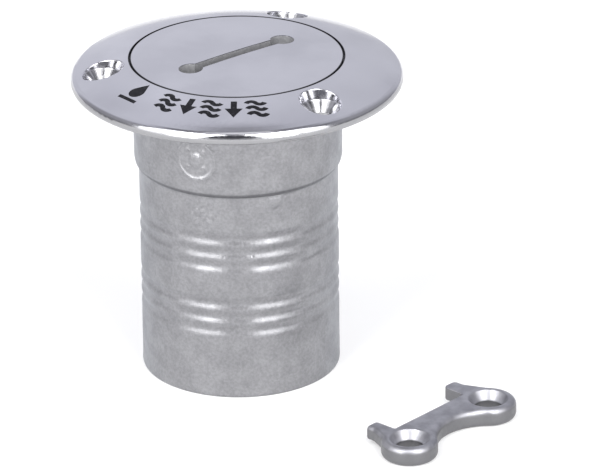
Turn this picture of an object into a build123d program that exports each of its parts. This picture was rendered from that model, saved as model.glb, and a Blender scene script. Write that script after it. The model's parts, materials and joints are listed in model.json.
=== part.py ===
from build123d import *
import os
from math import cos, pi, radians, sin, sqrt, tan

# A boat's deck filler: a flanged casting with a hose tail, a flush cap that screws into it, the bead chain
# and toggle bar that keep the cap from being lost, and the loose key that turns the cap.
# Millimetres. +Z is up, out of the deck. The origin is on the filler's axis, in the plane of the flange's
# underside, which sits on the deck.

os.makedirs("parts", exist_ok=True)

# ---- Driving dimensions ----

# Flange
flange_r = 42.5
flange_top_z = 7.0
dome_slope = 0.13
rim_corner_z = 2.82
rim_top_fillet = 2.1
rim_bottom_fillet = 1.4
recess_r = 27.6
recess_fillet = 0.12
seat_z = 2.0

# Screw holes, with seats for countersunk heads
screw_circle_r = 34.25
screw_count = 3
first_screw_angle = -52.8
screw_hole_r = 2.75
screw_head_r = 5.3
screw_seat_z = 3.9
screw_rim_fillet = 0.25

# Collar and hose tail
collar_r = 26.68
collar_bottom_z = -19.0
tail_r = 25.55
tail_top_z = -21.4
tail_bottom_z = -77.3
tail_chamfer = 0.5
bore_r = 23.4
groove_depth = 0.35
groove_width = 3.3
groove_pitch = 3.7
groove_group_z = (-36.75, -54.7)

# Raised marks of the casting: the foundry's ring with its dots, and the stub of the gate
relief_height = 0.3
foundry_angle = -113.9
foundry_z = -11.3
foundry_outer_r = 5.5
foundry_inner_r = 4.9
foundry_centre_r = 1.5
foundry_dot_circle_r = 3.1
foundry_dot_r = 0.45
gate_angle = -69.4
gate_z = -21.2
gate_length = 6.6
gate_width = 3.6

# Thread between the cap and the collar: 1 1/2 inch parallel pipe thread, 55 degrees
thread_pitch = 2.309
thread_root_r = 23.90
thread_crest_r = 22.42
thread_slope = tan(radians(27.5))
thread_gap = 0.2
thread_start_z = -14.6
thread_turns = 8
thread_overlap = 0.3
undercut_r = 24.15
undercut_top_z = -13.6
undercut_bottom_z = -16.6

# Cap
cap_r = 27.15
cap_crown = 0.8
cap_rim_z = 2.3
cap_top_fillet = 0.2
cap_inner_fillet = 1.5
cap_skirt_bottom_z = -14.0
cap_skirt_bore_r = 19.6
cap_plate_z = 3.4
cap_thread_turns = 4
cap_thread_crest_cut = 0.5
slot_angle = 38.3
slot_end_offset = 14.9
slot_end_r = 3.1
slot_width = 3.3
slot_floor_z = 2.35
slot_boss_z = 0.4
slot_boss_width = 10.6

# O-ring, drawn as squeezed between the cap and its seat
ring_mid_r = 25.5
ring_width = 2.1
ring_height = 1.76
gland_width = 2.3
gland_top_z = 3.8
ring_gap = 0.02

# Swivel under the cap
swivel_boss_r = 4.5
swivel_boss_z = -4.0
swivel_shank_r = 1.5
swivel_shank_top_z = 0.8
swivel_shoulder_r = 2.0
swivel_shoulder_height = 1.1
swivel_head_r = 3.2
swivel_head_height = 1.4
strip_thickness = 0.8
strip_width = 5.2
strip_web_x = 5.4
pivot_gap = 0.05

# Bead chain
bead_r = 1.6
bead_wall = 0.25
bead_hole_r = 0.45
bead_pitch = 4.0
bead_count = 10
link_r = 0.4
link_head_r = 0.6
link_head_inset = 0.82
chain_hole_r = 0.65
chain_shelf_z = -12.0

# Toggle bar
cheek_gap = 1.75
cheek_r = 2.0
toggle_pin_r = 0.8
toggle_eye_r = 2.5
toggle_bar_r = 1.5
toggle_half_length = 23.0
toggle_drop = 1.3

# Key, lying flat beside the hose tail's foot
key_centre = (52.1, -49.4)
key_angle = 46.8
key_thickness = 5.0
key_hole_offset = 15.15
key_lobe_r = 7.2
key_waist_y = -0.5
key_hole_r = 3.45
key_hole_mouth_r = 5.15
key_hole_mouth_angle = 70
key_lug_offset = 15.05
key_lug_width = 4.4
key_lug_thickness = 3.6
key_lug_tip_y = 13.1
key_lug_length = 9.0
key_lug_web = 2.6
key_lug_web_y = 10.2
key_lug_z = 1.35
key_lug_corner_r = 1.2
key_lug_fillet = 1.2
key_top_fillet = 1.6
key_bottom_fillet = 1.5

# Engraved marks with black enamel
mark_mid_r = 32.7
mark_depth = 0.4
enamel_below_surface = 0.06
mark_stroke = 1.3
wave_half_length = 2.35
wave_spacing = 2.3
wave_height = 0.7
arrow_shaft_length = 3.6
arrow_shaft_y = 1.5
arrow_head_half = 2.3
arrow_head_top_y = 0.2
arrow_tip_y = -3.4
drop_r = 2.1
drop_line_y = -3.2
drop_line_length = 6.4
drop_angle = -140.5
first_mark_angle = -122.3
mark_step = 10.2


# ---- Shared shapes ----

def thread_turn(inner_r, outer_r, inner_half):
    """One turn of a right-hand ridge that narrows outwards at the thread's flank angle."""
    outer_half = inner_half - (outer_r - inner_r) * thread_slope
    with BuildPart() as ridge:
        with BuildLine() as winding:
            Helix(pitch=thread_pitch, height=thread_pitch, radius=inner_r)
        with BuildSketch(Plane(origin=winding.line @ 0, x_dir=(1, 0, 0), z_dir=winding.line % 0)):
            with BuildLine():
                Polyline(
                    (0, inner_half),
                    (outer_r - inner_r, outer_half),
                    (outer_r - inner_r, -outer_half),
                    (0, -inner_half),
                    close=True,
                )
            make_face()
        sweep(path=winding.line, is_frenet=True)
    return ridge.part


def upright_plane(azimuth, height):
    """A plane halfway out of the neck's wall that faces outwards at an azimuth and a height."""
    outwards = (cos(radians(azimuth)), sin(radians(azimuth)), 0)
    return Plane(
        origin=(outwards[0] * bore_r, outwards[1] * bore_r, height),
        x_dir=(-outwards[1], outwards[0], 0),
        z_dir=outwards,
    )


def flange_dome(drop):
    """The flange's domed top as an arc in the radius and height plane, lowered by drop."""
    return TangentArc(
        (recess_r, flange_top_z - drop),
        (flange_r, rim_corner_z - drop),
        tangent=(1, -dome_slope),
    )


def dome_layer(top_drop, bottom_drop):
    """The layer of the flange between two depths below its domed top."""
    with BuildPart() as layer:
        with BuildSketch(Plane.XZ):
            with BuildLine():
                upper = flange_dome(top_drop)
                lower = flange_dome(bottom_drop)
                Line(upper @ 0, lower @ 0)
                Line(upper @ 1, lower @ 1)
            make_face()
        revolve(axis=Axis.Z)
    return layer.part


def draw_waves():
    """Three short waves, one above the other."""
    half = wave_half_length
    for y in (-wave_spacing, 0, wave_spacing):
        with BuildLine(mode=Mode.PRIVATE) as wave:
            ThreePointArc((-half, y), (-half / 2, y + wave_height), (0, y))
            ThreePointArc((0, y), (half / 2, y - wave_height), (half, y))
        trace(wave.line, mark_stroke)


def draw_arrow():
    """An arrow that points down, out to the flange's rim."""
    with Locations((0, arrow_shaft_y)):
        Rectangle(mark_stroke * 1.2, arrow_shaft_length)
    head_corners = [(-arrow_head_half, arrow_head_top_y), (arrow_head_half, arrow_head_top_y)]
    Polygon(*head_corners, (0, arrow_tip_y), align=None)


def draw_drop():
    """A drop of liquid above a short line."""
    side_x = drop_r * cos(radians(30))
    side_y = drop_r * sin(radians(30))
    Circle(drop_r)
    Polygon((-side_x, side_y), (0, drop_r / sin(radians(30))), (side_x, side_y), align=None)
    with Locations((0, drop_line_y)):
        Rectangle(drop_line_length, mark_stroke * 0.8)


def mark_layer(draw_mark, azimuth, top_drop, bottom_drop):
    """A mark's outline cut out of one layer of the dome, upright when read from outside the rim."""
    centre = (mark_mid_r * cos(radians(azimuth)), mark_mid_r * sin(radians(azimuth)), 0)
    along = (cos(radians(azimuth + 90)), sin(radians(azimuth + 90)), 0)
    layer = dome_layer(top_drop, bottom_drop)
    with BuildPart() as mark:
        add(layer)
        with BuildSketch(Plane(origin=centre, x_dir=along, z_dir=(0, 0, 1))):
            draw_mark()
        extrude(amount=flange_top_z + 3, mode=Mode.INTERSECT)
    return mark.part


# ---- Marks ----

marks = [("mark_drop", draw_drop, drop_angle)]
for index, draw_mark in enumerate((draw_waves, draw_arrow, draw_waves, draw_arrow, draw_waves)):
    shape = "wave" if draw_mark is draw_waves else "arrow"
    marks.append((f"mark_{shape}_{index + 1}", draw_mark, first_mark_angle + index * mark_step))

mark_pockets = [mark_layer(draw, azimuth, -2, mark_depth) for name, draw, azimuth in marks]

for name, draw, azimuth in marks:
    with BuildPart() as enamel:
        add(mark_layer(draw, azimuth, enamel_below_surface, mark_depth))
    enamel.part.label = name
    export_step(enamel.part, f"parts/{name}.step")

# ---- Filler body: flange, collar and hose tail in one casting ----

thread_mid_r = (thread_root_r + thread_crest_r) / 2
body_groove_r = thread_crest_r - thread_overlap
body_groove_turn = thread_turn(
    body_groove_r,
    thread_root_r,
    thread_pitch / 4 + (thread_mid_r - body_groove_r) * thread_slope,
)

groove_arc_r = (groove_width ** 2 / 4 + groove_depth ** 2) / (2 * groove_depth)

with BuildPart() as foundry_ring:
    with BuildSketch(upright_plane(foundry_angle, foundry_z)):
        Circle(foundry_outer_r)
        Circle(foundry_inner_r, mode=Mode.SUBTRACT)
        Circle(foundry_centre_r)
        with PolarLocations(foundry_dot_circle_r, 4, start_angle=45):
            Circle(foundry_dot_r)
    extrude(amount=collar_r)
    with BuildSketch(Plane.XY.offset(collar_bottom_z)):
        Circle(collar_r + relief_height)
        Circle(collar_r - relief_height, mode=Mode.SUBTRACT)
    extrude(amount=-collar_bottom_z, mode=Mode.INTERSECT)

with BuildPart() as gate_stub:
    with BuildSketch(upright_plane(gate_angle, gate_z)):
        SlotOverall(gate_length, gate_width, rotation=90)
    extrude(amount=collar_r)
    with BuildSketch(Plane.XY.offset(gate_z - gate_length)):
        Circle(tail_r + relief_height)
        Circle(tail_r - relief_height, mode=Mode.SUBTRACT)
    extrude(amount=2 * gate_length, mode=Mode.INTERSECT)

with BuildPart() as filler_body:
    with BuildSketch(Plane.XZ) as filler_section:
        with BuildLine():
            dome = flange_dome(0)
            Polyline(dome @ 1, (flange_r, 0), (collar_r, 0), (collar_r, collar_bottom_z))
            TangentArc((collar_r, collar_bottom_z), (tail_r, tail_top_z), tangent=(0, -1))
            Polyline(
                (tail_r, tail_top_z),
                (tail_r, tail_bottom_z + tail_chamfer),
                (tail_r - tail_chamfer, tail_bottom_z),
                (bore_r + tail_chamfer, tail_bottom_z),
                (bore_r, tail_bottom_z + tail_chamfer),
                (bore_r, undercut_bottom_z),
                (undercut_r, undercut_bottom_z + 0.5),
                (undercut_r, undercut_top_z),
                (thread_crest_r, undercut_top_z + 1),
                (thread_crest_r, seat_z - 2),
                (thread_root_r + 0.2, seat_z),
                (recess_r, seat_z),
                dome @ 0,
            )
        make_face()
        rim_corners = filler_section.vertices().group_by(Axis.X)[-1].sort_by(Axis.Y)
        fillet(rim_corners[1], rim_top_fillet)
        rim_corners = filler_section.vertices().group_by(Axis.X)[-1].sort_by(Axis.Y)
        fillet(rim_corners[0], rim_bottom_fillet)
        recess_corner = filler_section.vertices().sort_by_distance((recess_r, flange_top_z))[0]
        fillet(recess_corner, recess_fillet)
    revolve(axis=Axis.Z)

    with BuildSketch(Plane.XZ):
        for group_z in groove_group_z:
            for row in (-1, 0, 1):
                with Locations((tail_r - groove_depth + groove_arc_r, group_z + row * groove_pitch)):
                    Circle(groove_arc_r)
    revolve(axis=Axis.Z, mode=Mode.SUBTRACT)

    with Locations((0, 0, screw_seat_z)):
        with PolarLocations(screw_circle_r, screw_count, start_angle=first_screw_angle):
            CounterSinkHole(screw_hole_r, screw_head_r, counter_sink_angle=90)
    screw_seat_rims = [
        edge
        for edge in filler_body.edges()
        if abs(edge.length - 2 * pi * screw_head_r) < 1 and edge.center().Z > screw_seat_z + 0.5
    ]
    fillet(screw_seat_rims, screw_rim_fillet)

    add(foundry_ring.part)
    add(gate_stub.part)
    for turn in range(thread_turns):
        with Locations((0, 0, thread_start_z + turn * thread_pitch)):
            add(body_groove_turn, mode=Mode.SUBTRACT)
    for pocket in mark_pockets:
        add(pocket, mode=Mode.SUBTRACT)
filler_body.part.label = "filler_body"
export_step(filler_body.part, "parts/filler_body.step")

# ---- Screw cap ----

cap_root_r = thread_crest_r - thread_gap
cap_crest_r = thread_root_r - thread_gap - cap_thread_crest_cut
cap_ridge_r = cap_root_r - thread_overlap
cap_ridge_turn = thread_turn(
    cap_ridge_r,
    cap_crest_r,
    thread_pitch / 4 + (thread_mid_r - cap_ridge_r) * thread_slope - thread_gap / cos(radians(27.5)),
)

with BuildPart() as screw_cap:
    with BuildSketch(Plane.XZ) as cap_section:
        with BuildLine():
            crown = TangentArc((0, flange_top_z + cap_crown), (cap_r, flange_top_z), tangent=(1, 0))
            Polyline(
                crown @ 1,
                (cap_r, cap_rim_z),
                (ring_mid_r + gland_width / 2, cap_rim_z),
                (ring_mid_r + gland_width / 2, gland_top_z),
                (ring_mid_r - gland_width / 2, gland_top_z),
                (ring_mid_r - gland_width / 2, cap_rim_z),
                (cap_root_r, cap_rim_z),
                (cap_root_r, cap_skirt_bottom_z + 0.6),
                (cap_root_r - 0.6, cap_skirt_bottom_z),
                (cap_skirt_bore_r + 0.5, cap_skirt_bottom_z),
                (cap_skirt_bore_r, cap_skirt_bottom_z + 0.5),
                (cap_skirt_bore_r, cap_plate_z),
                (0, cap_plate_z),
                crown @ 0,
            )
        make_face()
        top_corner = cap_section.vertices().group_by(Axis.X)[-1].sort_by(Axis.Y)[-1]
        fillet(top_corner, cap_top_fillet)
        inner_corner = cap_section.vertices().sort_by_distance((cap_skirt_bore_r, cap_plate_z))[0]
        fillet(inner_corner, cap_inner_fillet)
    revolve(axis=Axis.Z)

    with BuildSketch(Plane.XY.offset(slot_boss_z)):
        SlotCenterToCenter(2 * slot_end_offset, slot_boss_width, rotation=slot_angle)
    extrude(until=Until.NEXT)

    with BuildSketch(Plane.XY.offset(swivel_boss_z)):
        Circle(swivel_boss_r)
    extrude(amount=slot_boss_z - swivel_boss_z + 0.5)

    with BuildSketch(Plane.XY.offset(swivel_boss_z)):
        Circle(swivel_shank_r)
    extrude(amount=swivel_shank_top_z + 0.1 - swivel_boss_z, mode=Mode.SUBTRACT)

    with BuildSketch(Plane.XY.offset(slot_floor_z)):
        Rectangle(2 * slot_end_offset, slot_width, rotation=slot_angle)
        with PolarLocations(slot_end_offset, 2, start_angle=slot_angle):
            Circle(slot_end_r)
    extrude(amount=flange_top_z, mode=Mode.SUBTRACT)

    for turn in range(1, cap_thread_turns + 1):
        with Locations((0, 0, thread_start_z + turn * thread_pitch)):
            add(cap_ridge_turn)
screw_cap.part.label = "screw_cap"
export_step(screw_cap.part, "parts/screw_cap.step")

# ---- O-ring under the cap's rim ----

with BuildPart() as cap_o_ring:
    with BuildSketch(Plane.XZ):
        with Locations((ring_mid_r, seat_z + ring_gap + ring_height / 2)):
            RectangleRounded(ring_width, ring_height, ring_height * 0.47)
    revolve(axis=Axis.Z)
cap_o_ring.part.label = "cap_o_ring"
export_step(cap_o_ring.part, "parts/cap_o_ring.step")

# ---- Swivel: a shouldered screw in the cap, and the bent strip that turns on it ----

shoulder_bottom_z = swivel_boss_z - swivel_shoulder_height
head_bottom_z = shoulder_bottom_z - swivel_head_height

with BuildPart() as swivel_screw:
    with BuildSketch(Plane.XZ):
        with BuildLine():
            Polyline(
                (0, swivel_shank_top_z),
                (swivel_shank_r - 0.3, swivel_shank_top_z),
                (swivel_shank_r, swivel_shank_top_z - 0.3),
                (swivel_shank_r, swivel_boss_z),
                (swivel_shoulder_r, swivel_boss_z),
                (swivel_shoulder_r, shoulder_bottom_z),
                (swivel_head_r, shoulder_bottom_z),
                (swivel_head_r, head_bottom_z + 0.5),
                (swivel_head_r - 0.5, head_bottom_z),
                (0, head_bottom_z),
                close=True,
            )
        make_face()
    revolve(axis=Axis.Z)
    with Locations((0, 0, head_bottom_z)):
        Box(2 * swivel_head_r + 1, 0.9, 1.4, mode=Mode.SUBTRACT)
swivel_screw.part.label = "swivel_screw"
export_step(swivel_screw.part, "parts/swivel_screw.step")

strip_top_z = swivel_boss_z - swivel_shoulder_height / 2
strip_bottom_z = chain_shelf_z - strip_thickness / 2

with BuildPart() as swivel_strip:
    with BuildSketch(Plane.XZ):
        with BuildLine(mode=Mode.PRIVATE) as strip_path:
            FilletPolyline(
                (0, strip_top_z),
                (strip_web_x, strip_top_z),
                (strip_web_x, strip_bottom_z),
                (0, strip_bottom_z),
                radius=1.3,
            )
        trace(strip_path.line, strip_thickness)
    extrude(amount=strip_width / 2, both=True)
    with Locations((0, 0, strip_top_z)):
        Cylinder(swivel_shoulder_r + 2, strip_thickness)
    with Locations((0, 0, strip_bottom_z)):
        Cylinder(strip_width / 2, strip_thickness)
    with Locations((0, 0, strip_top_z)):
        Cylinder(swivel_shoulder_r + pivot_gap, strip_thickness, mode=Mode.SUBTRACT)
    with Locations((0, 0, strip_bottom_z)):
        Cylinder(chain_hole_r, strip_thickness, mode=Mode.SUBTRACT)
    with Locations((-strip_width / 4, 0, strip_bottom_z)):
        Box(strip_width / 2, 2 * link_r + 0.2, strip_thickness, mode=Mode.SUBTRACT)
swivel_strip.part.label = "swivel_strip"
export_step(swivel_strip.part, "parts/swivel_strip.step")

# ---- Bead chain: hollow beads, and dumbbell links with their heads inside the beads ----

bead_seat = sqrt(bead_r ** 2 - chain_hole_r ** 2) + 0.01
first_bead_z = chain_shelf_z + bead_seat
bead_heights = [first_bead_z - index * bead_pitch for index in range(bead_count)]

for index, bead_z in enumerate(bead_heights):
    with BuildPart() as bead:
        with Locations((0, 0, bead_z)):
            Sphere(bead_r)
            Sphere(bead_r - bead_wall, mode=Mode.SUBTRACT)
            Cylinder(bead_hole_r, 2 * bead_r + 1, mode=Mode.SUBTRACT)
    name = f"chain_bead_{index + 1:02d}"
    bead.part.label = name
    export_step(bead.part, f"parts/{name}.step")

for index, bead_z in enumerate(bead_heights[:-1]):
    with BuildPart() as link:
        with Locations((0, 0, bead_z - bead_pitch / 2)):
            Cylinder(link_r, bead_pitch - 2 * link_head_inset)
        with Locations((0, 0, bead_z - link_head_inset), (0, 0, bead_z - bead_pitch + link_head_inset)):
            Sphere(link_head_r)
    name = f"chain_link_{index + 1:02d}"
    link.part.label = name
    export_step(link.part, f"parts/{name}.step")

# ---- Stirrup on the last bead, with the toggle bar on its pin ----

last_bead_z = bead_heights[-1]
stirrup_top_z = last_bead_z + bead_seat + strip_thickness / 2
toggle_pivot_z = last_bead_z - bead_r - toggle_eye_r - 0.6
cheek_mid_y = cheek_gap + strip_thickness / 2
pivot_plane = Plane(origin=(0, 0, toggle_pivot_z), x_dir=(1, 0, 0), z_dir=(0, -1, 0))

with BuildPart() as toggle_stirrup:
    with BuildSketch(Plane.YZ):
        with BuildLine(mode=Mode.PRIVATE) as stirrup_path:
            FilletPolyline(
                (-cheek_mid_y, toggle_pivot_z),
                (-cheek_mid_y, stirrup_top_z),
                (cheek_mid_y, stirrup_top_z),
                (cheek_mid_y, toggle_pivot_z),
                radius=0.8,
            )
        trace(stirrup_path.line, strip_thickness)
    extrude(amount=cheek_r, both=True)
    for side in (-1, 1):
        with BuildSketch(pivot_plane.offset(side * cheek_mid_y)):
            Circle(cheek_r)
        extrude(amount=strip_thickness / 2, both=True)
    with BuildSketch(pivot_plane):
        Circle(toggle_pin_r)
    extrude(amount=cheek_gap + 2, both=True, mode=Mode.SUBTRACT)
    with Locations((0, 0, stirrup_top_z)):
        Cylinder(chain_hole_r, strip_thickness, mode=Mode.SUBTRACT)
    with Locations((-cheek_r / 2, 0, stirrup_top_z)):
        Box(cheek_r, 2 * link_r + 0.2, strip_thickness, mode=Mode.SUBTRACT)
toggle_stirrup.part.label = "toggle_stirrup"
export_step(toggle_stirrup.part, "parts/toggle_stirrup.step")

pin_half = cheek_gap + strip_thickness
with BuildPart() as toggle_pin:
    with BuildSketch(pivot_plane):
        Circle(toggle_pin_r)
    extrude(amount=pin_half + 0.5, both=True)
    for side in (-1, 1):
        with BuildSketch(pivot_plane.offset(side * (pin_half + 0.3))):
            Circle(toggle_pin_r + 0.5)
        extrude(amount=0.3, both=True)
    fillet(toggle_pin.faces().sort_by(Axis.Y)[0].edges(), 0.2)
    fillet(toggle_pin.faces().sort_by(Axis.Y)[-1].edges(), 0.2)
toggle_pin.part.label = "toggle_pin"
export_step(toggle_pin.part, "parts/toggle_pin.step")

with BuildPart() as toggle_bar:
    with BuildSketch(Plane.YZ):
        with Locations((0, toggle_pivot_z - toggle_drop)):
            Circle(toggle_bar_r)
    extrude(amount=toggle_half_length, both=True)
    bar_ends = [toggle_bar.faces().sort_by(Axis.X)[end].edges() for end in (0, -1)]
    fillet(bar_ends[0] + bar_ends[1], toggle_bar_r * 0.8)
    with BuildSketch(pivot_plane):
        Circle(toggle_eye_r)
    extrude(amount=toggle_bar_r + 0.1, both=True)
    with BuildSketch(pivot_plane):
        Circle(toggle_pin_r + pivot_gap)
    extrude(amount=toggle_bar_r + 1, both=True, mode=Mode.SUBTRACT)
toggle_bar.part.label = "toggle_bar"
export_step(toggle_bar.part, "parts/toggle_bar.step")

# ---- Key ----

key_plane = Plane(
    origin=(key_centre[0], key_centre[1], tail_bottom_z),
    x_dir=(cos(radians(key_angle)), sin(radians(key_angle)), 0),
    z_dir=(0, 0, 1),
)
waist_r = (key_hole_offset ** 2 + key_waist_y ** 2 - key_lobe_r ** 2) / (2 * (key_lobe_r + key_waist_y))
lobe_share = key_lobe_r / (key_lobe_r + waist_r)
blend_x = key_hole_offset * (1 - lobe_share)
blend_y = (key_waist_y - waist_r) * lobe_share

with BuildPart() as key_lugs:
    with BuildSketch(key_plane.offset(key_lug_z)) as lug_plan:
        for side in (-1, 1):
            outer_x = side * (key_lug_offset + key_lug_width / 2)
            inner_x = side * (key_lug_offset - key_lug_width / 2)
            root_y = key_lug_tip_y - key_lug_length
            with BuildLine():
                Polyline(
                    (inner_x, root_y),
                    (inner_x, key_lug_tip_y),
                    (outer_x, key_lug_tip_y),
                    (outer_x, key_lug_web_y),
                    (outer_x + side * key_lug_web, root_y),
                    close=True,
                )
            make_face()
        fillet(lug_plan.vertices().group_by(Axis.Y)[-1], key_lug_corner_r)
    extrude(amount=key_lug_thickness)
    fillet(key_lugs.faces().sort_by(Axis.Z)[-1].edges(), key_lug_fillet)

with BuildPart() as deck_key:
    with BuildSketch(key_plane):
        with BuildLine():
            Polyline(
                (-blend_x, blend_y),
                (-key_hole_offset, 0),
                (-key_hole_offset, key_lobe_r),
                (key_hole_offset, key_lobe_r),
                (key_hole_offset, 0),
                (blend_x, blend_y),
            )
            ThreePointArc((blend_x, blend_y), (0, key_waist_y), (-blend_x, blend_y))
        make_face()
        with Locations((-key_hole_offset, 0), (key_hole_offset, 0)):
            Circle(key_lobe_r)
    extrude(amount=key_thickness)
    fillet(deck_key.faces().sort_by(Axis.Z)[-1].edges(), key_top_fillet)
    fillet(deck_key.faces().sort_by(Axis.Z)[0].edges(), key_bottom_fillet)

    add(key_lugs.part)

    with Locations(key_plane.offset(key_thickness)):
        with Locations((-key_hole_offset, 0), (key_hole_offset, 0)):
            CounterSinkHole(key_hole_r, key_hole_mouth_r, counter_sink_angle=key_hole_mouth_angle)
deck_key.part.label = "deck_key"
export_step(deck_key.part, "parts/deck_key.step")
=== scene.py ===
import bmesh
import bpy
import json
import numpy as np
from math import cos, pi, radians, sin
from mathutils import Matrix, Vector


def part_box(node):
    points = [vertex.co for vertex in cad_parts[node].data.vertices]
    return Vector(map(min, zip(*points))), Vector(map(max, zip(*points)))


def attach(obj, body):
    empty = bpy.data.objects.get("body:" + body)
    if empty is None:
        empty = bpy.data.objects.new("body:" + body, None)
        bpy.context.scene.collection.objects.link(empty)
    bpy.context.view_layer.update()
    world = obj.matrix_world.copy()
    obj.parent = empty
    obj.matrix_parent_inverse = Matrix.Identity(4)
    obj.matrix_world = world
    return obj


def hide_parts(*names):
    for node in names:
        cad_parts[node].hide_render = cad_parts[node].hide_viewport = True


# A stainless deck filler with its flush cap and loose key, on a pale studio floor.
# Every length is in metres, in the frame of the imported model; MM turns a millimetre into one.

MM = 0.001

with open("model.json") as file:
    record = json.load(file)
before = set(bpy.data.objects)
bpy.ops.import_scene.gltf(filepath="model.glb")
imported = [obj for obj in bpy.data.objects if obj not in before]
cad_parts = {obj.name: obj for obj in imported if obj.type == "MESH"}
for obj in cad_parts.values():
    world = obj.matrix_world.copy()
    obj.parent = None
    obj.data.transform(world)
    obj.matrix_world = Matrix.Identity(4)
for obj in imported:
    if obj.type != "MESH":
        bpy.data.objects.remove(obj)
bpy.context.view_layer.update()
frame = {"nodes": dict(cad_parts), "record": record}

# ---- The model's own sizes, read from the frame ----

body_low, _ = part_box("filler_body")
floor_z = body_low.z

# ---- Camera, matched to the product view: a long lens from in front, looking down ----

camera_place = Vector((0, -1.3284, 0.54945))
camera_yaw = radians(0.6717)
camera_pitch = radians(24.0726)
camera_roll = radians(-0.6727)
frame_width = 600
focal_length = 5632.15 / frame_width
sensor_width = 36

# ---- Studio ----

floor_size = 6.0
softbox_distance = 2.6
softbox_elevation = 31.5
softbox_height = 3.7
studio_turn = -4.0
key_softbox_azimuth = 33.0
key_softbox_width = 1.04
key_softbox_radiance = 6.5
side_softbox_azimuth = 57.0
side_softbox_width = 0.96
side_softbox_radiance = 2.2
floor_glow = 0.4
front_wall_upper = (0.05, 0.05, 0.06, 1)
front_wall_low = (0.62, 0.62, 0.65, 1)
back_wall = (0.74, 0.745, 0.82)
side_wall = (0.36, 0.36, 0.39, 1)
ceiling_ring = (0.28, 0.28, 0.31, 1)
ceiling_panel = (0.95, 0.95, 0.98, 1)

# ---- Neck, as cast ----

collar_r = 26.68
collar_bottom_z = -19.0
tail_r = 25.55
tail_top_z = -21.4
groove_depth = 0.38
groove_pitch = 3.7
groove_group_z = (-36.75, -54.7)
skin_columns = 640
skin_row_height = 0.5
skin_lift = 0.05
relief_height = 0.27
foundry_angle = -113.9
foundry_z = -11.3
foundry_outer_r = 5.6
foundry_inner_r = 4.8
foundry_dot_circle_r = 3.1
foundry_dot_r = 0.7
foundry_dot_height_share = 0.6
foundry_centre_r = 1.75
relief_flank = 0.5
gate_angle = -69.4
gate_z = -21.2
gate_half_width = 1.9
gate_half_length = 3.4
gate_flank = 0.4
flaw_angle = -111.0
flaw_z = -27.0
flaw_r = 3.6
flaw_depth = 0.12
skin_top_z = -0.03
foot_flare = 0.12
foot_flare_height = 3.2
skin_inset = 1.2

# ---- Key, as cast ----

key_voxel = 0.2
key_smoothing = 10

# ---- Screw holes and key slot ----

screw_circle_r = 34.25
screw_seat_r = 5.3
first_screw_angle = -52.8
slot_shade_depth = 0.12
cap_top_z = 7.8
cap_crown = 0.8
cap_r = 27.15
recess_r = 27.6
gap_shade_low_z = 6.0
rim_polish_and_shade_z = 2.3


# ---- Helpers: node trees ----

def link(tree, source, socket):
    """Connects a node's output, or a bare number or colour, to a socket."""
    if hasattr(source, "is_output"):
        tree.links.new(source, socket)
    else:
        socket.default_value = source


def math_node(tree, operation, first, second=0.0, third=0.0):
    node = tree.nodes.new("ShaderNodeMath")
    node.operation = operation
    for value, socket in zip((first, second, third), node.inputs):
        link(tree, value, socket)
    return node.outputs[0]


def ramp(tree, value, low, high, to_low=0.0, to_high=1.0):
    """A smooth step of value between two levels."""
    node = tree.nodes.new("ShaderNodeMapRange")
    node.interpolation_type = "SMOOTHSTEP"
    for source, name in ((value, "Value"), (low, "From Min"), (high, "From Max")):
        link(tree, source, node.inputs[name])
    node.inputs["To Min"].default_value = to_low
    node.inputs["To Max"].default_value = to_high
    return node.outputs[0]


def noise(tree, place, per_metre, detail=3.0, roughness=0.5):
    node = tree.nodes.new("ShaderNodeTexNoise")
    node.inputs["Scale"].default_value = per_metre
    node.inputs["Detail"].default_value = detail
    node.inputs["Roughness"].default_value = roughness
    link(tree, place, node.inputs["Vector"])
    return node.outputs["Fac"]


def mix(tree, share, first, second):
    node = tree.nodes.new("ShaderNodeMix")
    node.data_type = "RGBA"
    link(tree, share, node.inputs["Factor"])
    link(tree, first, node.inputs[6])
    link(tree, second, node.inputs[7])
    return node.outputs[2]


def bump(tree, height, distance, strength=1.0, onto=None):
    node = tree.nodes.new("ShaderNodeBump")
    node.inputs["Distance"].default_value = distance
    node.inputs["Strength"].default_value = strength
    link(tree, height, node.inputs["Height"])
    if onto is not None:
        link(tree, onto, node.inputs["Normal"])
    return node.outputs["Normal"]


def new_material(name, metallic):
    """A material with one Principled shader, with its tree, its shader and the object coordinates."""
    material = bpy.data.materials.new(name)
    material.use_nodes = True
    tree = material.node_tree
    shader = tree.nodes["Principled BSDF"]
    shader.inputs["Metallic"].default_value = metallic
    place = tree.nodes.new("ShaderNodeTexCoord").outputs["Object"]
    return material, tree, shader, place


# ---- Materials ----

steel_light = (0.70, 0.70, 0.735, 1)
steel_mid = (0.60, 0.60, 0.635, 1)
cast_light = (0.325, 0.325, 0.337, 1)
cast_dark = (0.235, 0.235, 0.245, 1)
# Painted shadow: the dark band in the step under the collar.
step_painted_shadow = (0.06, 0.06, 0.065, 1)
cast_edge_tint = (0.95, 0.97, 1.0, 1)
slot_grey = (0.25, 0.25, 0.26, 1)
# Painted shade: black on the walls of the narrow gap between the cap and the flange.
gap_painted_shade = (0.02, 0.02, 0.025, 1)
# Painted shade: the darker low band of the flange rim.
rim_low_painted_shade = (0.36, 0.36, 0.37, 1)
# Painted reflection: the light and dark streaks in the screw seats.
seat_painted_reflection_light = (0.58, 0.58, 0.60, 1)
seat_painted_reflection_dark = (0.24, 0.24, 0.25, 1)
# Painted shade: the darker sides of the key.
key_side_painted_shade = (0.19, 0.19, 0.198, 1)
key_dark = (0.33, 0.33, 0.355, 1)
key_light = (0.45, 0.45, 0.48, 1)


def vector_node(tree, operation, first, second=None):
    node = tree.nodes.new("ShaderNodeVectorMath")
    node.operation = operation
    link(tree, first, node.inputs[0])
    if second is not None:
        link(tree, second, node.inputs[1])
    return node


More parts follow.
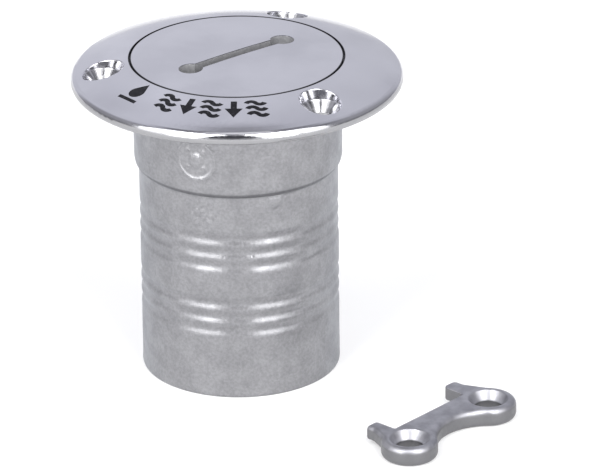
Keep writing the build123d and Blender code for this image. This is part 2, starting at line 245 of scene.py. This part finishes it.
def flat_place(tree, place):
    """The place seen from above: its height set to nothing."""
    return vector_node(tree, "MULTIPLY", place, (1, 1, 0)).outputs[0]


def length_of(tree, vector):
    return vector_node(tree, "LENGTH", vector).outputs["Value"]


def parts_of(tree, vector):
    """A vector's X, Y and Z, by name."""
    split = tree.nodes.new("ShaderNodeSeparateXYZ")
    link(tree, vector, split.inputs[0])
    return split.outputs


def buffed_finish(tree, place):
    """Tone, gloss and surface of buffed stainless: faint clouds, hairline swirls and soft waves."""
    clouds = noise(tree, place, 45, 3)
    tone = mix(tree, ramp(tree, clouds, 0.3, 0.7), steel_mid, steel_light)
    swirls = noise(tree, place, 900, 4, 0.6)
    gloss = ramp(tree, swirls, 0.3, 0.75, 0.10, 0.18)
    waves = bump(tree, noise(tree, place, 60, 1), 0.12 * MM, 0.6)
    return tone, gloss, bump(tree, swirls, 0.01 * MM, 0.5, waves)


def polished_steel():
    """Buffed stainless cap, with a dull blasted key slot and a black line of painted shade round its upper
    edge, where it meets the gap to the flange.
    """
    material, tree, shader, place = new_material("polished_steel", 1.0)
    height_z = parts_of(tree, place)["Z"]
    radius = length_of(tree, flat_place(tree, place))
    square = math_node(tree, "MULTIPLY", radius, radius)
    level = math_node(tree, "MULTIPLY_ADD", square, cap_crown / (cap_r ** 2 * MM), height_z)
    shade_z = cap_top_z - slot_shade_depth
    below = ramp(tree, level, shade_z * MM, (shade_z - 0.15) * MM)
    outermost = ramp(tree, radius, (cap_r - 0.24) * MM, (cap_r - 0.14) * MM)
    upper = ramp(tree, height_z, (gap_shade_low_z - 0.3) * MM, gap_shade_low_z * MM)
    # Painted shade: the cap's outer wall near the top is turned black, as the gap's shade.
    edge = math_node(tree, "MULTIPLY", outermost, upper)
    tone, gloss, surface = buffed_finish(tree, place)
    grain = noise(tree, place, 1500, 3, 0.6)
    dull = mix(tree, ramp(tree, grain, 0.3, 0.7), slot_grey, cast_light)
    tone = mix(tree, edge, mix(tree, below, tone, dull), gap_painted_shade)
    link(tree, tone, shader.inputs["Base Color"])
    # The dull slot and the painted-shade edge are made less metallic and rougher.
    blasted_slot_and_painted_shade = math_node(tree, "MAXIMUM", below, edge)
    link(tree, math_node(tree, "MULTIPLY_ADD", blasted_slot_and_painted_shade, -0.6, 1.0), shader.inputs["Metallic"])
    link(tree, math_node(tree, "MULTIPLY_ADD", blasted_slot_and_painted_shade, 0.45, gloss), shader.inputs["Roughness"])
    height = math_node(tree, "MULTIPLY", grain, below)
    link(tree, bump(tree, height, 0.04 * MM, 0.8, surface), shader.inputs["Normal"])
    return material


def turned_seats(tree, place):
    """Where the screw seats are, and the painted dark reflection streaks that run down them."""
    flat = flat_place(tree, place)
    seats, painted_reflection_streaks = 0.0, 0.0
    for turn in range(3):
        angle = radians(first_screw_angle + 120 * turn)
        axis_place = (screw_circle_r * MM * cos(angle), screw_circle_r * MM * sin(angle), 0)
        away = vector_node(tree, "SUBTRACT", flat, axis_place).outputs[0]
        direction = vector_node(tree, "NORMALIZE", away).outputs[0]
        here = ramp(tree, length_of(tree, away), (screw_seat_r + 0.1) * MM, (screw_seat_r - 0.3) * MM)
        seats = math_node(tree, "ADD", here, seats)
        # Painted reflection streaks, radial round each seat.
        painted_reflection_streaks = math_node(tree, "MULTIPLY_ADD", here, noise(tree, direction, 3.1 + turn, 2, 0.6), painted_reflection_streaks)
    return seats, ramp(tree, painted_reflection_streaks, 0.42, 0.6)


def body_steel():
    """The filler's own casting: polished flange, turned screw seats with painted reflection streaks, painted
    shade low on the rim, black painted shade on the recess wall round the cap, blasted below.
    """
    material, tree, shader, place = new_material("body_steel", 1.0)
    height_z = parts_of(tree, place)["Z"]
    polish = ramp(tree, height_z, 0.1 * MM, 0.8 * MM)
    # Painted shade: below this band the rim is darker; it is also a little rougher.
    rim_polished_unshaded = ramp(tree, height_z, (rim_polish_and_shade_z - 0.4) * MM, (rim_polish_and_shade_z + 0.3) * MM)
    radius = length_of(tree, flat_place(tree, place))
    # Painted shade: a black band on the recess wall, in the gap round the cap, above gap_shade_low_z.
    outside_gap = ramp(tree, radius, (recess_r + 0.08) * MM, (recess_r + 0.14) * MM)
    inside_gap = ramp(tree, radius, (recess_r - 0.05) * MM, (recess_r - 0.1) * MM)
    under_gap = ramp(tree, height_z, gap_shade_low_z * MM, (gap_shade_low_z - 0.3) * MM)
    clear = math_node(tree, "MAXIMUM", math_node(tree, "MAXIMUM", outside_gap, inside_gap), under_gap)
    shine, gloss, surface = buffed_finish(tree, place)
    grain = noise(tree, place, 1500, 3, 0.6)
    seat, painted_reflection_streaks = turned_seats(tree, place)
    # Painted reflection: the seats take light and dark streaks in place of the flange's tone.
    shine = mix(tree, seat, shine, mix(tree, painted_reflection_streaks, seat_painted_reflection_light, seat_painted_reflection_dark))
    shine = mix(tree, rim_polished_unshaded, rim_low_painted_shade, shine)
    dull = mix(tree, ramp(tree, grain, 0.3, 0.7), cast_dark, cast_light)
    tone = mix(tree, polish, dull, shine)
    link(tree, mix(tree, clear, gap_painted_shade, tone), shader.inputs["Base Color"])
    link(tree, math_node(tree, "MULTIPLY_ADD", clear, 0.6, 0.4), shader.inputs["Metallic"])
    gloss = math_node(tree, "MULTIPLY_ADD", seat, 0.05, gloss)
    gloss = math_node(tree, "ADD", gloss, ramp(tree, rim_polished_unshaded, 0.0, 1.0, 0.05, 0.0))
    matt = ramp(tree, grain, 0.3, 0.7, 0.36, 0.5)
    rough = math_node(tree, "MULTIPLY_ADD", math_node(tree, "SUBTRACT", gloss, matt), polish, matt)
    link(tree, rough, shader.inputs["Roughness"])
    height = math_node(tree, "MULTIPLY", grain, math_node(tree, "SUBTRACT", 1.0, polish))
    link(tree, bump(tree, height, 0.05 * MM, 0.8, surface), shader.inputs["Normal"])
    return material


def cast_steel():
    """Blasted investment casting: speckled grain, blotches, a few pits, painted shadow in the step under the
    collar.
    """
    material, tree, shader, place = new_material("cast_steel", 1.0)
    grain = noise(tree, place, 1300, 4, 0.65)
    blotches = noise(tree, place, 190, 4, 0.65)
    patches = ramp(tree, blotches, 0.36, 0.66)
    speckle = ramp(tree, grain, 0.35, 0.65, 0.0, 0.55)
    share = math_node(tree, "MULTIPLY_ADD", patches, 0.45, speckle)
    height_z = parts_of(tree, place)["Z"]
    # Painted shadow: a dark band where the step under the collar faces down.
    below_edge = ramp(tree, height_z, (tail_top_z + 1.5) * MM, (tail_top_z + 0.9) * MM)
    above_tail = ramp(tree, height_z, (tail_top_z - 0.1) * MM, (tail_top_z + 0.4) * MM)
    painted_shadow_under_step = math_node(tree, "MULTIPLY", below_edge, above_tail)
    clean = mix(tree, share, cast_dark, cast_light)
    tone = mix(tree, math_node(tree, "MULTIPLY", painted_shadow_under_step, 0.6), clean, step_painted_shadow)
    link(tree, tone, shader.inputs["Base Color"])
    rough = math_node(tree, "MULTIPLY_ADD", patches, -0.08, ramp(tree, grain, 0.3, 0.7, 0.36, 0.42))
    link(tree, rough, shader.inputs["Roughness"])
    shader.inputs["Specular Tint"].default_value = cast_edge_tint
    pits = tree.nodes.new("ShaderNodeTexVoronoi")
    pits.inputs["Scale"].default_value = 420
    link(tree, place, pits.inputs["Vector"])
    pitted = ramp(tree, pits.outputs["Distance"], 0.05, 0.22, -1.0, 0.0)
    height = math_node(tree, "MULTIPLY_ADD", pitted, 0.6, grain)
    sparkle = bump(tree, noise(tree, place, 3000, 2, 0.5), 0.03 * MM, 0.7)
    link(tree, bump(tree, height, 0.045 * MM, 0.8, sparkle), shader.inputs["Normal"])
    return material


def key_steel():
    """Tumbled casting: satin on top and in the holes' mouths, painted shade on the sides, soft dents."""
    material, tree, shader, place = new_material("key_steel", 1.0)
    grain = noise(tree, place, 1100, 4, 0.6)
    dents = noise(tree, place, 260, 2, 0.5)
    facing = parts_of(tree, tree.nodes.new("ShaderNodeNewGeometry").outputs["Normal"])
    # Painted shade: faces that turn away from up are darker.
    upward_unshaded = ramp(tree, facing["Z"], 0.15, 0.6)
    satin = mix(tree, ramp(tree, dents, 0.3, 0.7), key_dark, key_light)
    tone = mix(tree, upward_unshaded, key_side_painted_shade, satin)
    link(tree, tone, shader.inputs["Base Color"])
    link(tree, ramp(tree, grain, 0.3, 0.7, 0.38, 0.5), shader.inputs["Roughness"])
    dented = bump(tree, dents, 0.09 * MM, 0.7)
    link(tree, bump(tree, grain, 0.03 * MM, 0.7, dented), shader.inputs["Normal"])
    return material


def chain_steel():
    """Bright drawn steel with small marks."""
    material, tree, shader, place = new_material("chain_steel", 1.0)
    marks = noise(tree, place, 1600, 3)
    tone = mix(tree, ramp(tree, marks, 0.35, 0.7), (0.55, 0.55, 0.57, 1), (0.72, 0.72, 0.74, 1))
    link(tree, tone, shader.inputs["Base Color"])
    link(tree, ramp(tree, marks, 0.3, 0.7, 0.14, 0.3), shader.inputs["Roughness"])
    link(tree, bump(tree, marks, 0.02 * MM, 0.5), shader.inputs["Normal"])
    return material


def seal_rubber():
    """Black nitrile with a faint bloom."""
    material, tree, shader, place = new_material("seal_rubber", 0.0)
    bloom = noise(tree, place, 500, 3)
    tone = mix(tree, ramp(tree, bloom, 0.4, 0.8), (0.012, 0.012, 0.013, 1), (0.035, 0.035, 0.037, 1))
    link(tree, tone, shader.inputs["Base Color"])
    link(tree, ramp(tree, bloom, 0.3, 0.7, 0.5, 0.68), shader.inputs["Roughness"])
    link(tree, bump(tree, bloom, 0.02 * MM, 0.5), shader.inputs["Normal"])
    return material


def black_enamel():
    """Paint flowed into the engraving, with a slight orange peel and dust."""
    material, tree, shader, place = new_material("black_enamel", 0.0)
    peel = noise(tree, place, 1400, 3)
    tone = mix(tree, ramp(tree, peel, 0.45, 0.8), (0.008, 0.008, 0.010, 1), (0.028, 0.028, 0.032, 1))
    link(tree, tone, shader.inputs["Base Color"])
    link(tree, ramp(tree, peel, 0.3, 0.7, 0.38, 0.55), shader.inputs["Roughness"])
    shader.inputs["Specular IOR Level"].default_value = 0.08
    link(tree, bump(tree, peel, 0.03 * MM, 0.6), shader.inputs["Normal"])
    return material


def floor_white():
    """Pale matt floor with a barely visible mottle."""
    material, tree, shader, place = new_material("floor_white", 0.0)
    mottle = noise(tree, place, 9, 3)
    tone = mix(tree, mottle, (0.56, 0.56, 0.563, 1), (0.60, 0.60, 0.602, 1))
    link(tree, tone, shader.inputs["Base Color"])
    shader.inputs["Roughness"].default_value = 0.8
    shader.inputs["Specular IOR Level"].default_value = 0.2
    shader.inputs["Emission Color"].default_value = (1, 1, 1, 1)
    shader.inputs["Emission Strength"].default_value = floor_glow
    return material


# ---- Neck skin: the cast outer surface of the collar and the hose tail ----

def neck_radius(z):
    """The neck's outer radius at a height, in millimetres: collar, rounded step, tail and grooves."""
    step = np.clip((collar_bottom_z - z) / (collar_bottom_z - tail_top_z), 0, 1)
    shoulder = 1 - np.sqrt(1 - step ** 2)
    radius = collar_r - (collar_r - tail_r) * shoulder
    for group_z in groove_group_z:
        for row in (-1, 0, 1):
            offset = np.clip(np.abs(z - group_z - row * groove_pitch) / (groove_pitch / 2), 0, 1)
            radius = radius - groove_depth * (1 + np.cos(pi * offset)) / 2
    return radius


def smooth_noise(random, columns, rows, across, up):
    """Value noise on a grid that closes on itself round the neck; across and up run from 0 to 1."""
    grid = random.uniform(-1, 1, (columns, rows + 1))
    x = across * columns
    y = up * rows
    column = np.floor(x).astype(int)
    row = np.clip(np.floor(y).astype(int), 0, rows - 1)
    u = x - column
    v = y - row
    u = u * u * (3 - 2 * u)
    v = v * v * (3 - 2 * v)
    left = grid[column % columns, row] * (1 - v) + grid[column % columns, row + 1] * v
    right = grid[(column + 1) % columns, row] * (1 - v) + grid[(column + 1) % columns, row + 1] * v
    return left * (1 - u) + right * u


def raised_step(distance, edge, softness):
    """1 inside edge, 0 outside it, with a soft flank."""
    share = np.clip((edge - distance) / softness + 0.5, 0, 1)
    return share * share * (3 - 2 * share)


def casting_relief(azimuth, z):
    """Unevenness of the cast neck in millimetres, with the raised foundry ring and the gate stub."""
    random = np.random.default_rng(7)
    across = azimuth / (2 * pi)
    up = np.clip(-z / 80, 0, 1)
    relief = 0.022 * smooth_noise(random, 26, 13, across, up)
    relief += 0.014 * smooth_noise(random, 90, 45, across, up)
    relief += 0.009 * smooth_noise(random, 230, 120, across, up)
    ring_x = (azimuth - radians(360 + foundry_angle)) * collar_r
    ring_z = z - foundry_z
    ring_distance = np.hypot(ring_x, ring_z)
    mark = raised_step(ring_distance, foundry_outer_r, relief_flank)
    mark -= raised_step(ring_distance, foundry_inner_r, relief_flank)
    mark += raised_step(ring_distance, foundry_centre_r, relief_flank)
    for corner in range(4):
        dot_x = foundry_dot_circle_r * cos(radians(45 + 90 * corner))
        dot_z = foundry_dot_circle_r * sin(radians(45 + 90 * corner))
        dot_distance = np.hypot(ring_x - dot_x, ring_z - dot_z)
        mark += foundry_dot_height_share * raised_step(dot_distance, foundry_dot_r, relief_flank)
    relief += relief_height * mark
    gate_x = (azimuth - radians(360 + gate_angle)) * tail_r
    beyond = np.clip(np.abs(z - gate_z) - (gate_half_length - gate_half_width), 0, None)
    under_collar = np.clip((tail_top_z + 0.3 - z) / 0.8, 0, 1)
    gate = raised_step(np.hypot(gate_x, beyond), gate_half_width, gate_flank)
    relief += relief_height * under_collar * gate
    flaw_x = (azimuth - radians(360 + flaw_angle)) * tail_r
    flaw = raised_step(np.hypot(flaw_x, z - flaw_z), flaw_r, 3.0)
    relief += flaw_depth * flaw * smooth_noise(random, 330, 160, across, up)
    return relief


def grid_mesh(name, points, columns, rows):
    """A mesh from rows of points that close round the axis and from the last row back to the first."""
    index = np.arange(rows * columns).reshape(rows, columns)
    below = np.roll(index, -1, axis=0)
    quads = np.stack(
        [index, np.roll(index, -1, axis=1), np.roll(below, -1, axis=1), below], axis=-1
    ).reshape(-1, 4)
    mesh = bpy.data.meshes.new(name)
    mesh.from_pydata(points.reshape(-1, 3).tolist(), [], quads.tolist())
    mesh.polygons.foreach_set("use_smooth", np.ones(len(quads), bool))
    mesh.update()
    return mesh


def neck_skin():
    """A thin closed shell over the neck: the cast surface outside, its inner side within the wall."""
    foot_z = body_low.z / MM
    heights = np.arange(skin_top_z, foot_z + 0.55, -skin_row_height)
    radii = neck_radius(heights) + skin_lift
    flare = np.clip((foot_z + foot_flare_height - heights) / foot_flare_height, 0, 1)
    radii += foot_flare * flare ** 2
    edge = np.array([[radii[-1] - 0.1, foot_z + 0.22], [radii[-1] - 0.45, foot_z + 0.02]])
    inner = np.array([[tail_r - skin_inset, foot_z + 0.02], [tail_r - skin_inset, skin_top_z]])
    angles = np.arange(skin_columns) * 2 * pi / skin_columns
    azimuth, z = np.meshgrid(angles, heights)
    outer_r = radii[:, None] + casting_relief(azimuth, z)
    plain = np.concatenate([edge, inner])
    azimuth = np.concatenate([azimuth, np.tile(angles, (len(plain), 1))])
    z = np.concatenate([z, np.repeat(plain[:, 1:], skin_columns, axis=1)])
    r = np.concatenate([outer_r, np.repeat(plain[:, :1], skin_columns, axis=1)])
    points = np.stack([r * np.cos(azimuth), r * np.sin(azimuth), z], axis=-1) * MM
    mesh = grid_mesh("neck_casting", points[::-1], skin_columns, len(z))
    piece = bpy.data.objects.new("neck_casting", mesh)
    bpy.context.scene.collection.objects.link(piece)
    return piece


# ---- Key: the CAD key softened into a tumbled casting ----

def cast_key():
    """A fine even mesh of the key, smoothed so that its corners and joins are rounded as in a casting."""
    mesh = frame["nodes"]["deck_key"].data.copy()
    welded = bmesh.new()
    welded.from_mesh(mesh)
    bmesh.ops.remove_doubles(welded, verts=welded.verts, dist=0.002 * MM)
    welded.to_mesh(mesh)
    welded.free()
    draft = bpy.data.objects.new("key_draft", mesh)
    bpy.context.scene.collection.objects.link(draft)
    remesh = draft.modifiers.new("even", "REMESH")
    remesh.mode = "VOXEL"
    remesh.voxel_size = key_voxel * MM
    remesh.use_smooth_shade = True
    smooth = draft.modifiers.new("tumble", "SMOOTH")
    smooth.factor = 0.5
    smooth.iterations = key_smoothing
    depsgraph = bpy.context.evaluated_depsgraph_get()
    finished = bpy.data.meshes.new_from_object(draft.evaluated_get(depsgraph))
    finished.name = "key_casting"
    bpy.data.objects.remove(draft)
    piece = bpy.data.objects.new("key_casting", finished)
    bpy.context.scene.collection.objects.link(piece)
    return piece


# ---- Build ----

materials = {
    "polished_steel": polished_steel(),
    "body_steel": body_steel(),
    "cast_steel": cast_steel(),
    "key_steel": key_steel(),
    "chain_steel": chain_steel(),
    "seal_rubber": seal_rubber(),
    "black_enamel": black_enamel(),
}

finish_of = {row["node"]: row["material_slot"] for row in frame["record"]["subparts"]}
for node, piece in frame["nodes"].items():
    finish = "body_steel" if node == "filler_body" else finish_of[node]
    piece.data.materials.clear()
    piece.data.materials.append(materials[finish])

neck = neck_skin()
neck.data.materials.append(materials["cast_steel"])
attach(neck, "filler")

key = cast_key()
key.data.materials.clear()
key.data.materials.append(materials["key_steel"])
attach(key, "key")
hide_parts("deck_key")


# ---- Floor, lights, camera ----

def studio_floor():
    half = floor_size / 2
    mesh = bpy.data.meshes.new("studio_floor")
    corners = [(-half, -half), (half, -half), (half, half), (-half, half)]
    mesh.from_pydata([(x, y, floor_z) for x, y in corners], [], [(0, 1, 2, 3)])
    mesh.materials.append(floor_white())
    floor = bpy.data.objects.new("studio_floor", mesh)
    bpy.context.scene.collection.objects.link(floor)


def softbox(name, azimuth, width, radiance):
    """A tall softbox aimed at the object; azimuth runs from the camera's side towards +X."""
    light = bpy.data.lights.new(name, "AREA")
    light.shape = "RECTANGLE"
    light.size = width
    light.size_y = softbox_height
    light.energy = radiance * pi * width * softbox_height
    lamp = bpy.data.objects.new(name, light)
    bpy.context.scene.collection.objects.link(lamp)
    away = Vector((
        sin(radians(azimuth)) * cos(radians(softbox_elevation)),
        -cos(radians(azimuth)) * cos(radians(softbox_elevation)),
        sin(radians(softbox_elevation)),
    ))
    lamp.location = away * softbox_distance
    lamp.rotation_mode = "QUATERNION"
    lamp.rotation_quaternion = away.to_track_quat("Z", "Y")


def studio_world():
    """Light walls behind and beside, a dim one on the camera's side, a dark ring round the ceiling panel."""
    world = bpy.data.worlds.new("studio")
    world.use_nodes = True
    bpy.context.scene.world = world
    tree = world.node_tree
    direction = tree.nodes.new("ShaderNodeTexCoord").outputs["Generated"]
    towards = parts_of(tree, direction)
    behind = ramp(tree, towards["Y"], -0.30, 0.25)
    low = ramp(tree, towards["Z"], 0.30, 0.20)
    front = mix(tree, low, front_wall_upper, front_wall_low)
    uneven = ramp(tree, noise(tree, direction, 2.2, 2), 0.3, 0.7, -0.07, 0.07)
    aside = math_node(tree, "ABSOLUTE", towards["X"])
    leftward = ramp(tree, towards["X"], -0.14, 0.14, 1.06, 0.94)
    dimmer = ramp(tree, aside, 0.12, 0.34, 0.0, -0.09)
    lit = math_node(tree, "ADD", math_node(tree, "ADD", uneven, leftward), dimmer)
    back = vector_node(tree, "SCALE", back_wall)
    link(tree, lit, back.inputs["Scale"])
    wall = mix(tree, behind, front, back.outputs[0])
    wall = mix(tree, ramp(tree, aside, 0.6, 0.85), wall, side_wall)
    near_ceiling = ramp(tree, towards["Z"], 0.86, 0.93)
    ringed = mix(tree, near_ceiling, wall, ceiling_ring)
    ceiling = ramp(tree, towards["Z"], 0.97, 0.985)
    colour = mix(tree, ceiling, ringed, ceiling_panel)
    link(tree, colour, tree.nodes["Background"].inputs["Color"])


def product_camera():
    camera = bpy.data.cameras.new("camera")
    camera.sensor_fit = "HORIZONTAL"
    camera.sensor_width = sensor_width
    camera.lens = focal_length * sensor_width
    camera.clip_start = 0.05
    camera.clip_end = 30
    forward = Vector((
        sin(camera_yaw) * cos(camera_pitch),
        cos(camera_yaw) * cos(camera_pitch),
        -sin(camera_pitch),
    ))
    level = Vector((cos(camera_yaw), -sin(camera_yaw), 0))
    upright = level.cross(forward)
    right = level * cos(camera_roll) + upright * sin(camera_roll)
    up = upright * cos(camera_roll) - level * sin(camera_roll)
    eye = bpy.data.objects.new("camera", camera)
    bpy.context.scene.collection.objects.link(eye)
    turn = Matrix((right, up, -forward)).transposed()
    eye.matrix_world = Matrix.Translation(camera_place) @ turn.to_4x4()
    bpy.context.scene.camera = eye


studio_floor()
for side, hand in ((-1, "left"), (1, "right")):
    key_azimuth = studio_turn + side * key_softbox_azimuth
    side_azimuth = studio_turn + side * side_softbox_azimuth
    softbox(f"key_softbox_{hand}", key_azimuth, key_softbox_width, key_softbox_radiance)
    softbox(f"side_softbox_{hand}", side_azimuth, side_softbox_width, side_softbox_radiance)
studio_world()
product_camera()
bpy.context.scene.view_settings.view_transform = "Standard"
